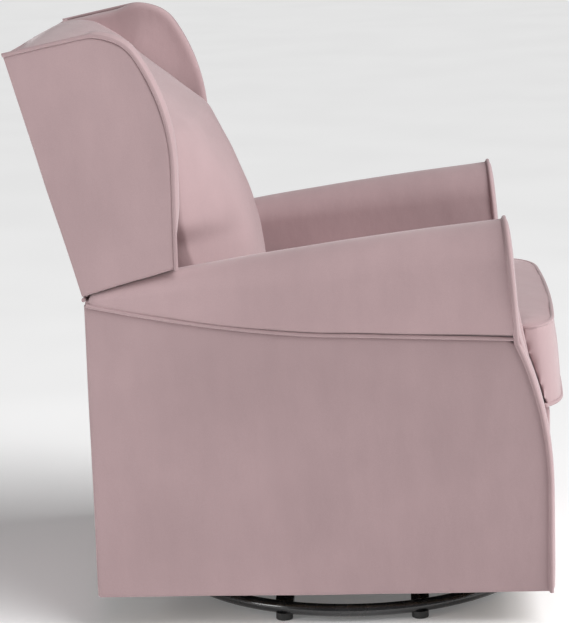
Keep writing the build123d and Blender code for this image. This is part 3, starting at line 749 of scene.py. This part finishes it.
# ---------------------------------------------------------------- seat
def make_front_border():
    outline = [(-INNER_X, HEM), (INNER_X, HEM), (INNER_X, border_high.z), (-INNER_X, border_high.z)]
    border = pillow("front_border", rounded(outline, [3] * 4),
                    lambda x, z, h: Vector((x, border_high.y - h, z)),
                    upholstery, 16, 8, crown=3, reach=90, spacing=8)
    ripple(border, 1.0, 140, seed=19)
    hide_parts("front_border")
    front = min(deck_low.y, border_high.y - 2)
    corners = [(-INNER_X, front), (INNER_X, front), (INNER_X, deck_high.y), (-INNER_X, deck_high.y)]
    edge = rounded(corners, [2] * 4)
    deck = pillow("seat_deck", edge, lambda x, y, h: Vector((x, y, deck_low.z + h)), upholstery, 5, 4,
                  crown=0.8, reach=60, spacing=10)
    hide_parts("seat_deck")


def cushion_outline():
    """Plan of the T-shaped cushion: bowed front, ears before the arms, straight box behind."""
    half, ear = 252.0, cushion_high.x
    front, ear_back, rear = -352.0, -288.0, cushion_high.y
    straight, turn = 212.0, -300.0
    corner = [Vector((straight + (ear - straight) * math.sin(a), turn + (front - turn) * math.cos(a)))
              for a in [math.pi / 2 * k / 8 for k in range(1, 9)]]
    bow = [Vector((x, front - 6 * (1 - (x / straight) ** 2))) for x in range(-200, 201, 20)]
    corners = ([Vector((-p.x, p.y)) for p in reversed(corner)] + bow + corner
               + [Vector((ear, ear_back)), Vector((half, ear_back)), Vector((half, rear)),
                  Vector((-half, rear)), Vector((-half, ear_back)), Vector((-ear, ear_back))])
    return rounded(corners, [0] * (len(corners) - 6) + [5, 8, 28, 28, 8, 5])


def make_cushion():
    outline = resample(cushion_outline(), 7)
    base, top = cushion_low.z + 2, 487.0
    def lean(p, z):
        """The front boxing leans back as it rises, and the ears follow the arm fronts."""
        y = p.y + 0.10 * (z - base) * min(1, max(0, (-240 - p.y) / 90))
        if abs(p.x) > 258:
            y = min(y, front_y(z) - 3)
        return Vector((p.x, y, z))
    middle = Vector((0, -320))
    vertices = []
    levels = [base - 0.01, base] + [base + (top - base) * k / 6 for k in range(1, 7)]
    for k, z in enumerate(levels):
        scale = 0.985 if k == 0 else 1.0
        vertices += [lean(middle + (p - middle) * scale, z) for p in outline]
    for s in SCALES[2:]:
        for p in outline:
            q = middle + (p - middle) * s
            d = min(edge_distance(q, outline) / 110, 1)
            v = lean(q, top)
            v.z = top + 12 * d * (2 - d)
            vertices.append(v)
    size = len(outline)
    rings = len(levels) + len(SCALES) - 2
    cushion = new_piece("seat_cushion", vertices, ring_faces(rings, size), cushion_velvet,
                        "seat_cushion", "pink_velvet")
    remesh(cushion, 0.006)
    seams = [[lean(p, z) for p in outline] for z in (base + 1, top)]
    inflate(cushion, seams, 4.0, 11)
    for v in cushion.data.vertices:
        if abs(v.co.x) > 0.259:
            v.co.y = min(v.co.y, (front_y(v.co.z / MM) - 2) * MM)
        elif abs(v.co.x) > 0.257 and v.co.y > -0.28:
            v.co.x = math.copysign(0.257, v.co.x)
        v.co.z = max(v.co.z, (deck_high.z + 1) * MM)
    ripple(cushion, 1.6, 90, seed=23)
    subdivide(cushion)
    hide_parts("seat_cushion")
    for name, z, rise in (("bottom", base, 2.5), ("top", top, -1.5)):
        path = []
        for p in outline:
            q = lean(p, z)
            away = Vector((p.x, p.y + 110, 0)).normalized() * -1.8
            path.append(q + away + Vector((0, 0, rise)))
        welt(f"cushion_welt_{name}", path, welt_velvet, closed=True, body="seat_cushion")


# ---------------------------------------------------------------- studio
def area_light(name, place, aim, size, power):
    light = bpy.data.lights.new(name, "AREA")
    light.shape = "DISK"
    light.size = size
    light.energy = power
    lamp = bpy.data.objects.new(name, light)
    lamp.location = place
    lamp.rotation_euler = (Vector(aim) - Vector(place)).to_track_quat("-Z", "Y").to_euler()
    bpy.context.collection.objects.link(lamp)


def make_studio():
    mesh = bpy.data.meshes.new("floor")
    reach = 40.0
    mesh.from_pydata([(-reach, -reach, 0), (reach, -reach, 0), (reach, reach, 0), (-reach, reach, 0)], [],
                     [(0, 1, 2, 3)])
    floor = bpy.data.objects.new("floor", mesh)
    bpy.context.collection.objects.link(floor)
    material, tree, shader = node_material("pale_floor")
    tint = mix_colors(tree, add_noise(tree, 2, 2), (0.9, 0.9, 0.9), (0.93, 0.93, 0.93))
    tree.links.new(tint, shader.inputs["Base Color"])
    shader.inputs["Roughness"].default_value = 0.8
    shader.inputs["Emission Color"].default_value = (1, 1, 1, 1)
    shader.inputs["Emission Strength"].default_value = 0.12
    mesh.materials.append(material)
    world = bpy.data.worlds.new("studio")
    world.use_nodes = True
    world.node_tree.nodes["Background"].inputs["Color"].default_value = (1, 1, 1, 1)
    world.node_tree.nodes["Background"].inputs["Strength"].default_value = 0.13
    bpy.context.scene.world = world
    bpy.context.scene.view_settings.view_transform = "Standard"
    key = bpy.data.lights.new("key", "SUN")
    key.energy = 2.4
    key.angle = math.radians(45)
    lamp = bpy.data.objects.new("key", key)
    lamp.rotation_euler = Vector((0.35, 0.8, -1.2)).to_track_quat("-Z", "Y").to_euler()
    bpy.context.collection.objects.link(lamp)
    area_light("front", (-1.0, -3.0, 1.5), (0, 0, 0.6), 1.6, 42)
    area_light("rear_side", (-1.3, 1.7, 0.6), (-0.35, 0.45, 0.35), 0.8, 12)


def make_camera():
    """Side view from the sitter's right, a little above the wings."""
    camera = bpy.data.cameras.new("camera")
    camera.sensor_width = 36
    camera.lens = 134.2
    eye = Vector((-3.943, -0.0926, 1.2683))
    forward = Vector((0.97829, 0.05063, -0.20099))
    holder = bpy.data.objects.new("camera", camera)
    roll = Matrix.Rotation(math.radians(-1.79), 4, "Z")
    aim = forward.to_track_quat("-Z", "Y").to_matrix().to_4x4()
    holder.matrix_world = Matrix.Translation(eye) @ aim @ roll
    bpy.context.collection.objects.link(holder)
    bpy.context.scene.camera = holder


make_camera()
make_studio()
dress_frame()
make_outside_panels()
make_facings()
make_inside_arms()
make_wings()
make_back_pad()
make_back_panels()
make_front_border()
make_cushion()

bpy.context.view_layer.update()
